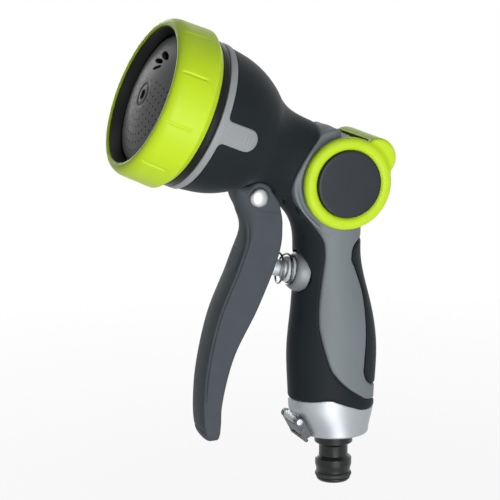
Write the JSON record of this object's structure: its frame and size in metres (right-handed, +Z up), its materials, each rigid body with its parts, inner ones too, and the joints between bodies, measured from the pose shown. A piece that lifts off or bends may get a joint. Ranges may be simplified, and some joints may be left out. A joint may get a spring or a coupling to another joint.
{
  "type": "hose spray nozzle",
  "caption": "Pistol-grip garden spray nozzle with a turning spray head, a front trigger with lock, a thumb yoke for the flow and a quick-connect spigot.",
  "frame": {"origin": "centre of the hose spigot's mouth, where the water enters", "axes": "+Z up the spigot and the grip, the head sprays towards -X and upwards, Y across the grip"},
  "size_m": [0.1282, 0.0748, 0.2203],
  "materials": {
    "casting_grey": "grey powder coat",
    "soft_black": "soft-touch satin",
    "collar_silver": "satin silver",
    "index_grey": "satin grey",
    "black_plastic": "fine satin",
    "seal_rubber": "matte",
    "spring_steel": "bright wire",
    "bright_steel": "polished",
    "gland_grey": "satin grey",
    "bush_plastic": "satin",
    "valve_brass": "turned",
    "lime_plastic": "satin",
    "trigger_black": "satin",
    "cap_black": "satin",
    "stamped_steel": "stamped, bright"
  },
  "bodies": {
    "body": {"body_casting": "casting_grey", "grip_cover": "soft_black", "palm_pad": "soft_black", "base_collar": "collar_silver", "index_ring": "index_grey", "head_plate": "black_plastic", "selector_seal": "seal_rubber", "seal_spring": "spring_steel", "detent_ball": "bright_steel", "detent_spring": "spring_steel", "turret_screw": "bright_steel", "trigger_pin": "bright_steel", "gland_nut": "gland_grey", "stem_bush": "bush_plastic", "stem_seal": "seal_rubber", "valve_seat": "valve_brass", "hose_spigot": "black_plastic", "spigot_seal": "seal_rubber", "inlet_washer": "seal_rubber", "lock_pin": "bright_steel", "return_spring": "spring_steel", "valve_spring": "spring_steel"},
    "turret": {"bezel_ring": "lime_plastic", "turret_shell": "black_plastic", "spray_plate": "black_plastic"},
    "trigger": {"trigger_lever": "trigger_black"},
    "stem": {"valve_stem": "bright_steel", "poppet": "valve_brass", "poppet_seal": "seal_rubber"},
    "yoke": {"flow_yoke": "lime_plastic", "knob_cap_left": "cap_black", "knob_cap_right": "cap_black", "flow_spindle": "valve_brass", "spindle_seals": "seal_rubber", "yoke_screws": "bright_steel"},
    "lock": {"lock_stirrup": "stamped_steel"}
  },
  "joints": [
    {"name": "trigger_pivot", "type": "hinge", "parent": "body", "child": "trigger", "pos_m": [-0.0405, 0, 0.1392], "axis": [0, -1, 0], "range_deg": [0, 14], "stiffness_Nm_per_rad": 1.5, "springref_deg": -28.65, "deforming": ["return_spring"]},
    {"name": "stem_slide", "type": "slide", "parent": "body", "child": "stem", "axis": [0.9744, 0, -0.225], "range_m": [0, 0.0077], "deforming": ["valve_spring"]},
    {"name": "turret_turn", "type": "hinge", "parent": "body", "child": "turret", "pos_m": [-0.002, 0, 0.1492], "axis": [-0.9205, 0, 0.3907], "continuous": true},
    {"name": "flow_turn", "type": "hinge", "parent": "body", "child": "yoke", "pos_m": [-0.002, 0, 0.145], "axis": [0, 1, 0], "range_deg": [0, 55]},
    {"name": "lock_swing", "type": "hinge", "parent": "body", "child": "lock", "pos_m": [-0.02102, 0, 0.0324], "axis": [0, 1, 0], "range_deg": [0, 60]}
  ],
  "couplings": [
    {"joint": "stem_slide", "follows": "trigger_pivot", "m_per_rad": 0.0313}
  ]
}
